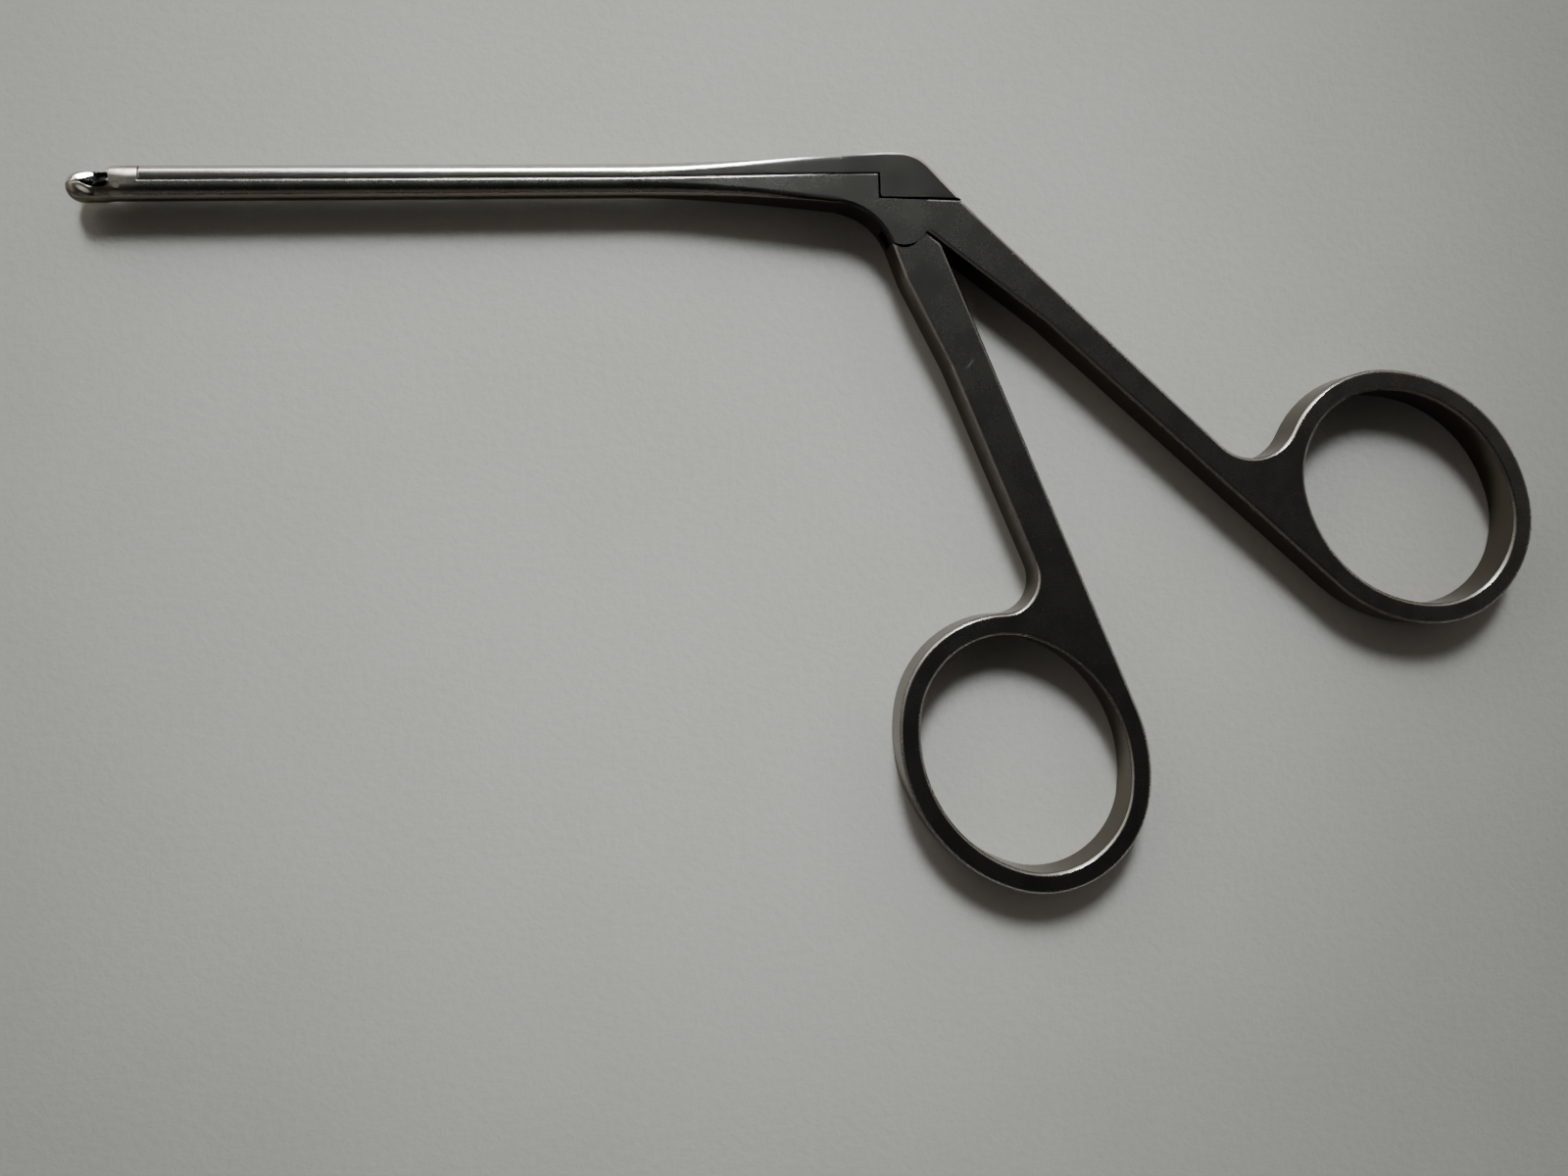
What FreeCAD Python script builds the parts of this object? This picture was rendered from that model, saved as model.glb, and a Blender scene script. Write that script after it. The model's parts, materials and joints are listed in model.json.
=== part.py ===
import FreeCAD, Part
import math
import os
import re
import Sketcher

# Ear forceps with a sliding shaft, lying on its side, in millimetres.
# Every sub-part is drawn about the pivot of the finger handle: X runs back along the
# shaft, Y up in the plane of the handles, and Z through the thickness, with the middle
# of the thickness at zero. At the end all of them are set on the table together.

# Driving sizes
SIZES = {
    # Flat stock of the body, the arms and the rings
    "flat_thickness": 4.0,
    "rim_bevel": 0.25,
    "rim_corner": 1.8,
    "seam_bevel": 0.07,
    # Shaft: an oval bar split along its middle, from the pivot to the front of the cheeks
    "shaft_reach": 73.5,
    "seam_height": 4.34,
    "shaft_height": 3.06,
    "shaft_width": 2.6,
    "shaft_round": 1.1,
    "slide_gap": 0.05,
    "cheek_length": 2.5,
    "cheek_gap": 0.08,
    # Flare from the shaft to the body
    "flare_start": 27.0,
    "flare_end": 6.0,
    "flare_rise": 1.81,
    "flare_fall": 2.74,
    "flare_tuck": 0.02,
    # Keels under the sliding shaft and the undercut slots that they run in
    "keel_length": 3.0,
    "keel_neck_width": 0.7,
    "keel_neck_height": 0.4,
    "keel_head_width": 1.3,
    "keel_head_height": 0.4,
    "keel_gap": 0.05,
    "front_keel_inset": 5.0,
    "rear_keel_back": 12.0,
    # Heel of the sliding shaft
    "step_back": 2.25,
    "stop_gap": 0.12,
    "heel_rise": 2.11,
    "heel_top_front": 1.9,
    "heel_corner": 1.61,
    "heel_round": 4.2,
    "heel_front_height": 2.0,
    "heel_tip_back": 5.97,
    "heel_tip_height": 1.78,
    "heel_tip_gap": 0.14,
    # Body round the pivot
    "throat_back": 2.65,
    "throat_height": 0.76,
    "throat_round": 6.2,
    "lobe_radius": 2.62,
    "lobe_gap": 0.05,
    "lobe_edge_turn": 28.5,
    "slit_start_turn": 27.8,
    "slit_angle": 38.2,
    "slit_gap": 0.15,
    # Rings, both alike
    "ring_long": 25.0,
    "ring_short": 20.2,
    "ring_end_drop": 1.35,
    "ring_wall": 2.1,
    # Rear arm and its ring
    "rear_ring_x": 52.4,
    "rear_ring_y": -29.35,
    "rear_ring_turn": 40.5,
    "rear_arm_turn": 42.8,
    "rear_arm_top_turn": 43.9,
    "rear_neck_round": 5.0,
    # Finger arm and its ring
    "front_ring_x": 10.1,
    "front_ring_y": -53.35,
    "front_ring_turn": 59.5,
    "front_arm_turn": 69.0,
    "front_arm_width": 3.95,
    "front_neck_round": 3.5,
    "front_flare": 0.8,
    "front_knee_drop": 5.95,
    "front_flare_drop": 14.5,
    "shoulder_round": 0.8,
    # Blade of the finger handle in the slot of the body
    "blade_thickness": 1.6,
    "blade_gap": 0.05,
    "eye_wall": 0.6,
    "eye_gap": 0.1,
    "nose_half_width": 0.75,
    "nose_over_pin": 0.75,
    "nose_sway": 0.3,
    "nose_head_gap": 0.15,
    # Swing of the finger handle and of the jaw, which set the travel of the slider
    "handle_swing": 14.0,
    "jaw_swing": 40.0,
    "drive_arm": 1.2,
    # Pins
    "handle_pin_radius": 1.1,
    "heel_pin_radius": 0.4,
    "jaw_pin_radius": 0.32,
    "drive_pin_radius": 0.25,
    "pin_fit": 0.01,
    "running_fit": 0.03,
    # Jaws: a round-nosed blank in front of the cheeks, split along the mouth
    "jaw_length": 4.1,
    "nose_radius": 1.37,
    "jaw_axis_drop": 0.3,
    "jaw_taper_run": 1.1,
    "jaw_root": 2.0,
    "jaw_root_radius": 1.22,
    "mouth_drop": 0.17,
    "mouth_gap": 0.04,
    "mouth_length": 1.65,
    "dip_run": 0.93,
    "dip_depth": 0.49,
    "web_run": 0.65,
    "web_drop": 0.05,
    "foot_run": 0.43,
    "foot_rise": 0.03,
    "cheek_foot_rise": 0.11,
    "neck_gap": 0.045,
    "neck_rise": 0.76,
    "neck_half_width": 0.58,
    "neck_length": 1.02,
    "brow_run": 0.68,
    "brow_rise": 0.4,
    "cup_inset": 1.3,
    "cup_length": 2.2,
    "cup_width": 1.9,
    "cup_depth": 0.85,
    "upper_cup_depth": 0.72,
    # Pivot of the upper jaw and the pieces lapped on it
    "jaw_pivot_inset": 0.65,
    "jaw_pivot_drop": 0.49,
    "tail_radius": 0.6,
    "tail_tip_radius": 0.46,
    "tail_thickness": 0.5,
    "tine_thickness": 0.3,
    "tine_radius": 0.4,
    "tine_root": 0.5,
    "lap_gap": 0.03,
    "slot_floor_gap": 0.08,
    # How far a cutting shape runs past what it cuts
    "past": 1.0,
}

# Sizes that follow from the ones above, worked out in the sheet itself
DERIVED = {
    "half_thickness": "flat_thickness / 2",
    "top_seam": "seam_height + slide_gap / 2",
    "low_seam": "seam_height - slide_gap / 2",
    "slider_reach": "shaft_reach - cheek_length - cheek_gap",
    "slide_travel": "2 * drive_arm * tan(jaw_swing / 2)",
    "handle_arm": "slide_travel / (2 * tan(handle_swing / 2))",
    "pin_lean": "slide_travel / 2",
    "flare_top": "seam_height + flare_rise",
    "flare_low": "seam_height - flare_fall",
    "flare_end_low": "flare_low + flare_tuck",
    "flare_end_high": "flare_top - flare_tuck",
    "flare_end_half": "half_thickness - flare_tuck",
    "flare_end_round": "rim_bevel * rim_corner",
    "front_keel_back": "slider_reach - front_keel_inset - keel_length",
    "keel_neck_low": "top_seam - keel_neck_height",
    "keel_low": "keel_neck_low - keel_head_height",
    "keel_slot_neck": "keel_neck_width / 2 + keel_gap",
    "keel_slot_head": "keel_head_width / 2 + keel_gap",
    "keel_drop_in": "keel_length + slide_travel + 2 * keel_gap",
    "heel_top": "seam_height + heel_rise",
    "heel_front": "stop_gap - step_back",
    "body_front_height": "heel_front_height - slide_gap",
    "rear_arm_start_y": "heel_tip_height - heel_tip_gap",
    "lobe_edge_back": "lobe_radius * sin(lobe_edge_turn)",
    "lobe_edge_drop": "lobe_radius * cos(lobe_edge_turn)",
    "slit_start_x": "lobe_radius * cos(slit_start_turn)",
    "slit_start_y": "-lobe_radius * sin(slit_start_turn)",
    "ring_end_radius": "ring_short / 2 - ring_end_drop",
    "ring_end_offset": "ring_long / 2 - ring_end_radius",
    "ring_side_radius": "(ring_end_offset ^ 2 + (ring_short / 2) ^ 2 - ring_end_radius ^ 2)"
                        " / (2 * ring_end_drop)",
    "ring_side_offset": "ring_side_radius - ring_short / 2",
    "outer_long": "ring_long / 2 + ring_wall",
    "outer_short": "ring_short / 2 + ring_wall",
    "outer_end_radius": "ring_end_radius + ring_wall",
    "outer_side_radius": "ring_side_radius + ring_wall",
    "rear_skew": "rear_arm_turn - rear_ring_turn",
    "rear_along": "outer_side_radius * sin(rear_skew)",
    "rear_across": "outer_side_radius * cos(rear_skew) - ring_side_offset",
    "rear_touch_x": "rear_ring_x - rear_along * cos(rear_ring_turn)"
                    " - rear_across * sin(rear_ring_turn)",
    "rear_touch_y": "rear_ring_y + rear_along * sin(rear_ring_turn)"
                    " - rear_across * cos(rear_ring_turn)",
    "rear_bend_run": "((rear_touch_x - slit_start_x) * sin(rear_arm_turn)"
                     " + (rear_touch_y - slit_start_y) * cos(rear_arm_turn))"
                     " / sin(rear_arm_turn - slit_angle)",
    "rear_bend_x": "slit_start_x + rear_bend_run * cos(slit_angle)",
    "rear_bend_y": "slit_start_y - rear_bend_run * sin(slit_angle)",
    "rear_inner_x": "rear_ring_x - ring_short / 3",
    "rear_inner_y": "rear_arm_start_y - (rear_inner_x - heel_tip_back) * tan(rear_arm_top_turn)",
    "front_skew": "front_arm_turn - front_ring_turn",
    "front_along": "outer_side_radius * sin(front_skew)",
    "front_across": "outer_side_radius * cos(front_skew) - ring_side_offset",
    "front_touch_x": "front_ring_x + front_along * cos(front_ring_turn)"
                     " + front_across * sin(front_ring_turn)",
    "front_touch_y": "front_ring_y - front_along * sin(front_ring_turn)"
                     " + front_across * cos(front_ring_turn)",
    "front_left_x": "front_touch_x - front_arm_width * sin(front_arm_turn)",
    "front_left_y": "front_touch_y - front_arm_width * cos(front_arm_turn)",
    "front_flare_x": "front_left_x + (front_left_y + front_flare_drop) / tan(front_arm_turn)",
    "front_knee_x": "front_left_x + (front_left_y + front_knee_drop) / tan(front_arm_turn)"
                    " - front_flare",
    "slit_side_x": "slit_start_x - slit_gap * sin(slit_angle)",
    "slit_side_y": "slit_start_y - slit_gap * cos(slit_angle)",
    "shoulder_run": "((front_touch_x - slit_side_x) * sin(front_arm_turn)"
                    " + (front_touch_y - slit_side_y) * cos(front_arm_turn))"
                    " / sin(front_arm_turn - slit_angle)",
    "shoulder_x": "slit_side_x + shoulder_run * cos(slit_angle)",
    "shoulder_y": "slit_side_y - shoulder_run * sin(slit_angle)",
    "eye_radius": "handle_pin_radius + running_fit + eye_wall",
    "eye_space_radius": "eye_radius + eye_gap",
    "nose_end": "handle_arm + nose_over_pin",
    "heel_slot_half": "nose_half_width + nose_sway",
    "heel_slot_top": "nose_end + nose_head_gap",
    "slot_half": "blade_thickness / 2 + blade_gap",
    "jaw_pivot_back": "shaft_reach - jaw_pivot_inset",
    "jaw_pivot_height": "seam_height - jaw_pivot_drop",
    "drive_height": "jaw_pivot_height + drive_arm",
    "drive_pin_back": "jaw_pivot_back + pin_lean",
    "tine_outside": "tail_thickness / 2 + lap_gap + tine_thickness",
    "cheek_slot_half": "tine_outside + lap_gap",
    "nose_reach": "shaft_reach + jaw_length",
    "jaw_axis_height": "seam_height - jaw_axis_drop",
    "jaw_full_back": "shaft_reach + jaw_taper_run",
    "jaw_root_back": "shaft_reach - jaw_root",
    "mouth_height": "seam_height - mouth_drop",
    "mouth_low": "mouth_height - mouth_gap / 2",
    "mouth_top": "mouth_height + mouth_gap / 2",
    "mouth_back": "nose_reach - mouth_length",
    "dip_front": "mouth_back - dip_run",
    "dip_height": "mouth_height - dip_depth",
    "web_back": "dip_front - web_run",
    "web_height": "mouth_height - web_drop",
    "foot_back": "shaft_reach + foot_run",
    "foot_height": "web_height + foot_rise",
    "cheek_foot_height": "seam_height + cheek_foot_rise",
    "neck_back": "drive_pin_back + tine_radius + neck_gap",
    "neck_low": "mouth_height + neck_rise",
    "head_back": "neck_back + neck_length",
    "brow_back": "mouth_back - brow_run",
    "brow_low": "mouth_top + brow_rise",
    "cup_back": "nose_reach - cup_inset",
    "back_reach": "rear_ring_x + ring_end_offset * cos(rear_ring_turn) + outer_end_radius",
    "ring_drop": "ring_end_offset * sin(front_ring_turn) + outer_end_radius - front_ring_y",
    "table_x": "(nose_reach - back_reach) / 2",
    "table_y": "(ring_drop - heel_top) / 2",
}

FLARE_STATIONS = 6
QUARTER = math.pi / 2

doc = FreeCAD.newDocument("ear_forceps")


def make_sheet():
    """Write the driving sizes and the sizes that follow from them into the sheet."""
    sheet = doc.addObject("Spreadsheet::Sheet", "sizes")
    row = 1
    for name, number in SIZES.items():
        sheet.set(f"A{row}", name.replace("_", " "))
        sheet.set(f"B{row}", str(number))
        sheet.setAlias(f"B{row}", name)
        row += 1
    for name, formula in DERIVED.items():
        sheet.set(f"A{row}", name.replace("_", " "))
        sheet.set(f"B{row}", "=" + formula)
        sheet.setAlias(f"B{row}", name)
        row += 1
    doc.recompute()
    return sheet


sizes = make_sheet()


def bound(text):
    """Turn the names of sizes in a formula into references to the cells of the sheet."""

    def reference(match):
        word = match.group()
        return f"sizes.{word}" if word in SIZES or word in DERIVED else word

    return re.sub(r"[a-z_]+", reference, str(text))


def value(text):
    """Work out a formula on the sizes as a plain number."""
    return float(sizes.evalExpression(bound(text)))


def bind(thing, **formulas):
    """Tie the properties of an object to formulas on the sizes."""
    for name, formula in formulas.items():
        thing.setExpression(name.replace("__", "."), bound(formula))
    return thing


def constrain(sketch, ties):
    """Add sized constraints to a sketch: kind, what it acts on, and its formula."""
    for kind, items, formula in ties:
        index = sketch.addConstraint(Sketcher.Constraint(kind, *items, value(formula)))
        sketch.setExpression(f"Constraints[{index}]", bound(formula))


def origin_plane(body, role):
    """Find one of the three origin planes of a body."""
    return next(item for item in body.Origin.OriginFeatures if item.Role == role)


def new_body(name, base=None):
    """Add a body, empty or carrying on from a solid made before."""
    body = doc.addObject("PartDesign::Body", name)
    if base:
        body.BaseFeature = base
        doc.recompute()
    return body


def new_sketch(body, name, role):
    """Add a sketch on one of the body's origin planes."""
    sketch = body.newObject("Sketcher::SketchObject", name)
    sketch.AttachmentSupport = (origin_plane(body, role), [""])
    sketch.MapMode = "FlatFace"
    return sketch


def outward_arc(first, last, radius):
    """Make the arc that bulges to the right of the way from one point to another."""
    chord = last.sub(first)
    left = FreeCAD.Vector(-chord.y, chord.x, 0).normalize()
    middle = first.add(last).multiply(0.5)
    centre = middle.add(left.multiply(math.sqrt(radius ** 2 - (chord.Length / 2) ** 2)))
    start, end = (math.atan2(point.y - centre.y, point.x - centre.x) for point in (first, last))
    return Part.ArcOfCircle(Part.Circle(centre, FreeCAD.Vector(0, 0, 1), radius), start, end)


def polygon(body, name, corners, role="XY_Plane", arcs=None):
    """Draw a closed outline whose corners are pairs of formulas; some sides may be arcs."""
    sketch = new_sketch(body, name, role)
    points = [FreeCAD.Vector(value(x), value(y), 0) for x, y in corners]
    count = len(points)
    arcs = arcs or {}
    for index in range(count):
        first, last = points[index], points[(index + 1) % count]
        if index in arcs:
            sketch.addGeometry(outward_arc(first, last, value(arcs[index])))
        else:
            sketch.addGeometry(Part.LineSegment(first, last))
    sketch.addConstraint([Sketcher.Constraint("Coincident", index, 2, (index + 1) % count, 1)
                          for index in range(count)])
    for index, (x, y) in enumerate(corners):
        constrain(sketch, [("DistanceX", (-1, 1, index, 1), x), ("DistanceY", (-1, 1, index, 1), y)])
    constrain(sketch, [("Radius", (side,), radius) for side, radius in arcs.items()])
    return sketch


def oval(body, name, ring, wall):
    """Draw the oval of a ring, grown by a wall, from two end arcs and two side arcs."""
    sketch = new_sketch(body, name, "XY_Plane")
    centre = FreeCAD.Vector(value(f"{ring}_x"), value(f"{ring}_y"), 0)
    turn = math.radians(-value(f"{ring}_turn"))
    along = FreeCAD.Vector(math.cos(turn), math.sin(turn), 0)
    across = FreeCAD.Vector(-math.sin(turn), math.cos(turn), 0)
    end, side = value("ring_end_offset"), value("ring_side_offset")
    join = math.atan2(side, end)
    arcs = [
        (along * end, f"ring_end_radius + {wall}", turn - join, turn + join),
        (across * -side, f"ring_side_radius + {wall}", turn + join, turn + math.pi - join),
        (along * -end, f"ring_end_radius + {wall}", turn + math.pi - join, turn + math.pi + join),
        (across * side, f"ring_side_radius + {wall}", turn + math.pi + join, turn - join),
    ]
    for offset, radius, first, last in arcs:
        circle = Part.Circle(centre + offset, FreeCAD.Vector(0, 0, 1), value(radius))
        sketch.addGeometry(Part.ArcOfCircle(circle, first, last))
    for index, (offset, radius, first, last) in enumerate(arcs):
        sketch.addConstraint(Sketcher.Constraint("Tangent", index, 2, (index + 1) % 4, 1))
    constrain(sketch, [("Radius", (index,), arcs[index][1]) for index in range(4)])
    for index, sign in ((0, "+"), (2, "-")):
        constrain(sketch, [
            ("DistanceX", (-1, 1, index, 3), f"{ring}_x {sign} ring_end_offset * cos({ring}_turn)"),
            ("DistanceY", (-1, 1, index, 3),
             f"{ring}_y - (0 {sign} ring_end_offset) * sin({ring}_turn)"),
        ])
    return sketch


def rounded_section(body, name, back, low, high, half_width, radius):
    """Draw a rounded rectangle across the shaft at a distance in front of the pivot."""
    sketch = new_sketch(body, name, "YZ_Plane")
    sketch.setExpression("AttachmentOffset.Base.z", bound(f"-({back})"))
    y0, y1 = value(low), value(high)
    w, r = value(half_width), value(radius)
    middles = [(y1 - r, w - r, 0), (y0 + r, w - r, 1), (y0 + r, r - w, 2), (y1 - r, r - w, 3)]
    for y, z, quarter in middles:
        circle = Part.Circle(FreeCAD.Vector(y, z, 0), FreeCAD.Vector(0, 0, 1), r)
        sketch.addGeometry(Part.ArcOfCircle(circle, quarter * QUARTER, (quarter + 1) * QUARTER))
    sides = [((y1 - r, w), (y0 + r, w)), ((y0, w - r), (y0, r - w)),
             ((y0 + r, -w), (y1 - r, -w)), ((y1, r - w), (y1, w - r))]
    for first, second in sides:
        sketch.addGeometry(Part.LineSegment(FreeCAD.Vector(*first, 0), FreeCAD.Vector(*second, 0)))
    for quarter in range(4):
        sketch.addConstraint(Sketcher.Constraint("Tangent", quarter, 2, 4 + quarter, 1))
        sketch.addConstraint(Sketcher.Constraint("Tangent", 4 + quarter, 2, (quarter + 1) % 4, 1))
    for side in (4, 6):
        sketch.addConstraint(Sketcher.Constraint("Horizontal", side))
        sketch.addConstraint(Sketcher.Constraint("Vertical", side + 1))
    for quarter in range(1, 4):
        sketch.addConstraint(Sketcher.Constraint("Equal", 0, quarter))
    constrain(sketch, [
        ("Radius", (0,), radius),
        ("DistanceX", (-1, 1, 5, 1), low),
        ("DistanceX", (-1, 1, 7, 1), high),
        ("DistanceY", (-1, 1, 4, 1), half_width),
        ("DistanceY", (-1, 1, 6, 1), f"-({half_width})"),
    ])
    return sketch


def add_feature(body, kind, name, **formulas):
    """Add a feature to a body, size it and make it the body's newest."""
    feature = body.newObject(f"PartDesign::{kind}", name)
    bind(feature, **formulas)
    body.Tip = feature
    return feature


def pad(body, sketch, thickness):
    """Thicken an outline evenly to both sides of its plane."""
    feature = add_feature(body, "Pad", "Pad", Length=thickness)
    feature.Profile = sketch
    feature.SideType = "Symmetric"
    doc.recompute()


def pocket(body, sketch, depth):
    """Cut an outline evenly to both sides of its plane."""
    feature = add_feature(body, "Pocket", "Pocket", Length=depth)
    feature.Profile = sketch
    feature.SideType = "Symmetric"
    doc.recompute()


def edge_names(shape, test):
    """Name the edges of a shape that pass a test."""
    return [f"Edge{number}" for number, edge in enumerate(shape.Edges, 1) if test(edge)]


def upright_at(x, y, reach=0.35):
    """Make a test for an edge along the thickness at a place, given by two formulas."""
    place = FreeCAD.Vector(value(x), value(y), 0)

    def test(edge):
        if len(edge.Vertexes) < 2:
            return False
        first, last = (vertex.Point for vertex in edge.Vertexes[:2])
        flat = math.hypot(first.x - last.x, first.y - last.y)
        away = math.hypot(first.x - place.x, first.y - place.y)
        return flat < 0.001 and abs(first.z - last.z) > 0.001 and away < reach

    return test


def round_edges(body, test, radius):
    """Round the edges of a body that pass a test."""
    base = body.Tip
    names = edge_names(base.Shape, test)
    feature = add_feature(body, "Fillet", "Fillet", Radius=radius)
    feature.Base = (base, names)
    doc.recompute()


def bevel_edges(body, test, size):
    """Bevel the edges of a body that pass a test."""
    base = body.Tip
    names = edge_names(base.Shape, test)
    feature = add_feature(body, "Chamfer", "Chamfer", Size=size)
    feature.Base = (base, names)
    doc.recompute()


def block(name, x_range, y_range, z_half):
    """Make a box from ranges of formulas in X and Y and a half width in Z."""
    box = doc.addObject("Part::Box", name)
    bind(box, Length=f"{x_range[1]} - ({x_range[0]})", Width=f"{y_range[1]} - ({y_range[0]})",
         Height=f"2 * ({z_half})", Placement__Base__x=x_range[0], Placement__Base__y=y_range[0],
         Placement__Base__z=f"-({z_half})")
    return box


def disc(name, x, y, radius, z_half):
    """Make a cylinder along the thickness at a place given by formulas."""
    cylinder = doc.addObject("Part::Cylinder", name)
    bind(cylinder, Radius=radius, Height=f"2 * ({z_half})", Placement__Base__x=x,
         Placement__Base__y=y, Placement__Base__z=f"-({z_half})")
    return cylinder


def fuse(name, *pieces):
    """Join solids into one."""
    result = doc.addObject("Part::MultiFuse", name)
    result.Shapes = list(pieces)
    result.Refine = True
    return result


def common(name, first, second):
    """Keep what two solids share."""
    result = doc.addObject("Part::Common", name)
    result.Base = first
    result.Tool = second
    return result


def cut(name, base, *tools):
    """Take one or more solids away from another."""
    result = doc.addObject("Part::Cut", name)
    result.Base = base
    result.Tool = tools[0] if len(tools) == 1 else fuse(name + "_tools", *tools)
    return result


def lean(thing, x, y, angle):
    """Turn a shape drawn about the origin, then set it at a place."""
    thing.Placement = FreeCAD.Placement(FreeCAD.Vector(value(x), value(y), 0),
                                        FreeCAD.Rotation(FreeCAD.Vector(0, 0, 1), value(angle)))
    return bind(thing, Placement__Base__x=x, Placement__Base__y=y,
                Placement__Rotation__Angle=angle)


def make_shaft_blank():
    """The whole oval shaft before it is split, flared to end a hair inside the body."""
    body = new_body("shaft_blank")
    section = ("seam_height - shaft_height / 2", "seam_height + shaft_height / 2",
               "shaft_width / 2", "shaft_round")
    front = rounded_section(body, "front_section", "shaft_reach", *section)
    bar = add_feature(body, "Pad", "Bar", Length="shaft_reach - flare_start")
    bar.Profile = front
    doc.recompute()
    stations = []
    for index in range(FLARE_STATIONS + 1):
        along = f"({index} / {FLARE_STATIONS})"
        swell = f"({along} ^ 2)"
        ease = f"(3 * {along} ^ 2 - 2 * {along} ^ 3)"
        low = f"({section[0]}) * (1 - {swell}) + flare_end_low * {swell}"
        high = f"({section[1]}) * (1 - {swell}) + flare_end_high * {swell}"
        wide = f"{section[2]} * (1 - {ease}) + flare_end_half * {ease}"
        turn = f"{section[3]} * (1 - {ease}) + flare_end_round * {ease}"
        back = f"flare_start + (flare_end - flare_start) * {along}"
        stations.append(rounded_section(body, f"flare_{index}", back, low, high, wide, turn))
    loft = add_feature(body, "AdditiveLoft", "Flare")
    loft.Profile = stations[0]
    loft.Sections = stations[1:]
    doc.recompute()
    return body


def make_jaw_blank():
    """The closed pair of jaws before they are split: a round nose turned about its axis."""
    body = new_body("jaw_blank")
    sketch = new_sketch(body, "nose_profile", "XY_Plane")
    axis_y = value("jaw_axis_height")
    reach, radius = value("nose_reach"), value("nose_radius")
    full, root, thin = value("jaw_full_back"), value("jaw_root_back"), value("jaw_root_radius")
    circle = Part.Circle(FreeCAD.Vector(radius - reach, axis_y, 0), FreeCAD.Vector(0, 0, 1), radius)
    sketch.addGeometry(Part.ArcOfCircle(circle, QUARTER, 2 * QUARTER))
    corners = [(-reach, axis_y), (-root, axis_y), (-root, axis_y + thin),
               (-full, axis_y + radius), (radius - reach, axis_y + radius)]
    for first, second in zip(corners, corners[1:]):
        sketch.addGeometry(Part.LineSegment(FreeCAD.Vector(*first, 0), FreeCAD.Vector(*second, 0)))
    sketch.addConstraint([
        Sketcher.Constraint("Coincident", 0, 2, 1, 1),
        Sketcher.Constraint("Coincident", 1, 2, 2, 1),
        Sketcher.Constraint("Coincident", 2, 2, 3, 1),
        Sketcher.Constraint("Coincident", 3, 2, 4, 1),
        Sketcher.Constraint("Tangent", 4, 2, 0, 1),
        Sketcher.Constraint("Horizontal", 1),
        Sketcher.Constraint("Vertical", 2),
        Sketcher.Constraint("Horizontal", 4),
        Sketcher.Constraint("PointOnObject", 0, 3, 1),
    ])
    constrain(sketch, [
        ("Radius", (0,), "nose_radius"),
        ("DistanceX", (-1, 1, 1, 1), "-nose_reach"),
        ("DistanceY", (-1, 1, 1, 1), "jaw_axis_height"),
        ("DistanceX", (-1, 1, 2, 1), "-jaw_root_back"),
        ("DistanceY", (2, 1, 2, 2), "jaw_root_radius"),
        ("DistanceX", (-1, 1, 3, 2), "-jaw_full_back"),
    ])
    turned = add_feature(body, "Revolution", "Nose")
    turned.Profile = sketch
    turned.ReferenceAxis = (sketch, ["Edge2"])
    turned.Angle = 360
    doc.recompute()
    return body


def ring_crossings(body, ring):
    """Find the upright edges where the side of an arm runs into the outside of its ring."""
    x, y = value(f"{ring}_x"), value(f"{ring}_y")
    tests = []
    for edge in body.Tip.Shape.Edges:
        if len(edge.Vertexes) < 2:
            continue
        first, last = (vertex.Point for vertex in edge.Vertexes[:2])
        upright = math.hypot(first.x - last.x, first.y - last.y) < 0.001
        away = math.hypot(first.x - x, first.y - y)
        near = value("outer_short") - 0.1 < away < value("outer_long") + 0.1
        if upright and near and sharp_corner(body.Tip.Shape, edge):
            tests.append(upright_at(str(first.x), str(first.y), 0.01))
    return tests


def sharp_corner(shape, edge):
    """Tell whether the two faces at an upright edge meet at a clear angle."""
    faces = [face for face in shape.Faces if any(edge.isSame(side) for side in face.Edges)]
    if len(faces) != 2:
        return False
    point = edge.Vertexes[0].Point.add(edge.Vertexes[1].Point).multiply(0.5)
    normals = [face.normalAt(*face.Surface.parameter(point)) for face in faces]
    return abs(normals[0].dot(normals[1])) < 0.985


def add_ring(body, ring, neck_round):
    """Run the arm of a body into an oval ring, round the neck and open the ring."""
    pad(body, oval(body, "ring_outside", ring, "ring_wall"), "flat_thickness")
    tests = ring_crossings(body, ring)
    round_edges(body, lambda edge: any(test(edge) for test in tests), neck_round)
    pocket(body, oval(body, "ring_inside", ring, "0"), "flat_thickness")


def flat_rims(body, test):
    """Make a test for edges of the two flat faces that also pass a test on their middle."""
    half = value("half_thickness")

    def rim(edge):
        box = edge.BoundBox
        on_flat = abs(abs(box.ZMin) - half) < 0.001 and box.ZLength < 0.001
        return on_flat and test(edge.CenterOfMass.x, edge.CenterOfMass.y, box)

    return rim


def make_heel_plate():
    """The flat heel of the sliding shaft."""
    body = new_body("heel_plate")
    corners = [
        ("-flare_end", "top_seam"),
        ("heel_front", "top_seam"),
        ("heel_front", "heel_front_height"),
        ("heel_tip_back", "heel_tip_height"),
        ("heel_corner", "heel_top"),
        ("-heel_top_front", "heel_top"),
        ("-flare_end", "flare_top"),
    ]
    pad(body, polygon(body, "heel_outline", corners), "flat_thickness")
    round_edges(body, upright_at("heel_corner", "heel_top"), "heel_round")

    def seam(x, y, box):
        shaft_seam = abs(y - value("top_seam")) < 0.001
        heel_seam = x > value("heel_front") and y < value("heel_front_height")
        return shaft_seam or heel_seam or abs(x - value("heel_front")) < 0.001

    def outside(x, y, box):
        return x > 0.001 - value("flare_end") and not seam(x, y, box)

    bevel_edges(body, flat_rims(body, outside), "rim_bevel")
    bevel_edges(body, flat_rims(body, seam), "seam_bevel")
    return body


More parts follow.
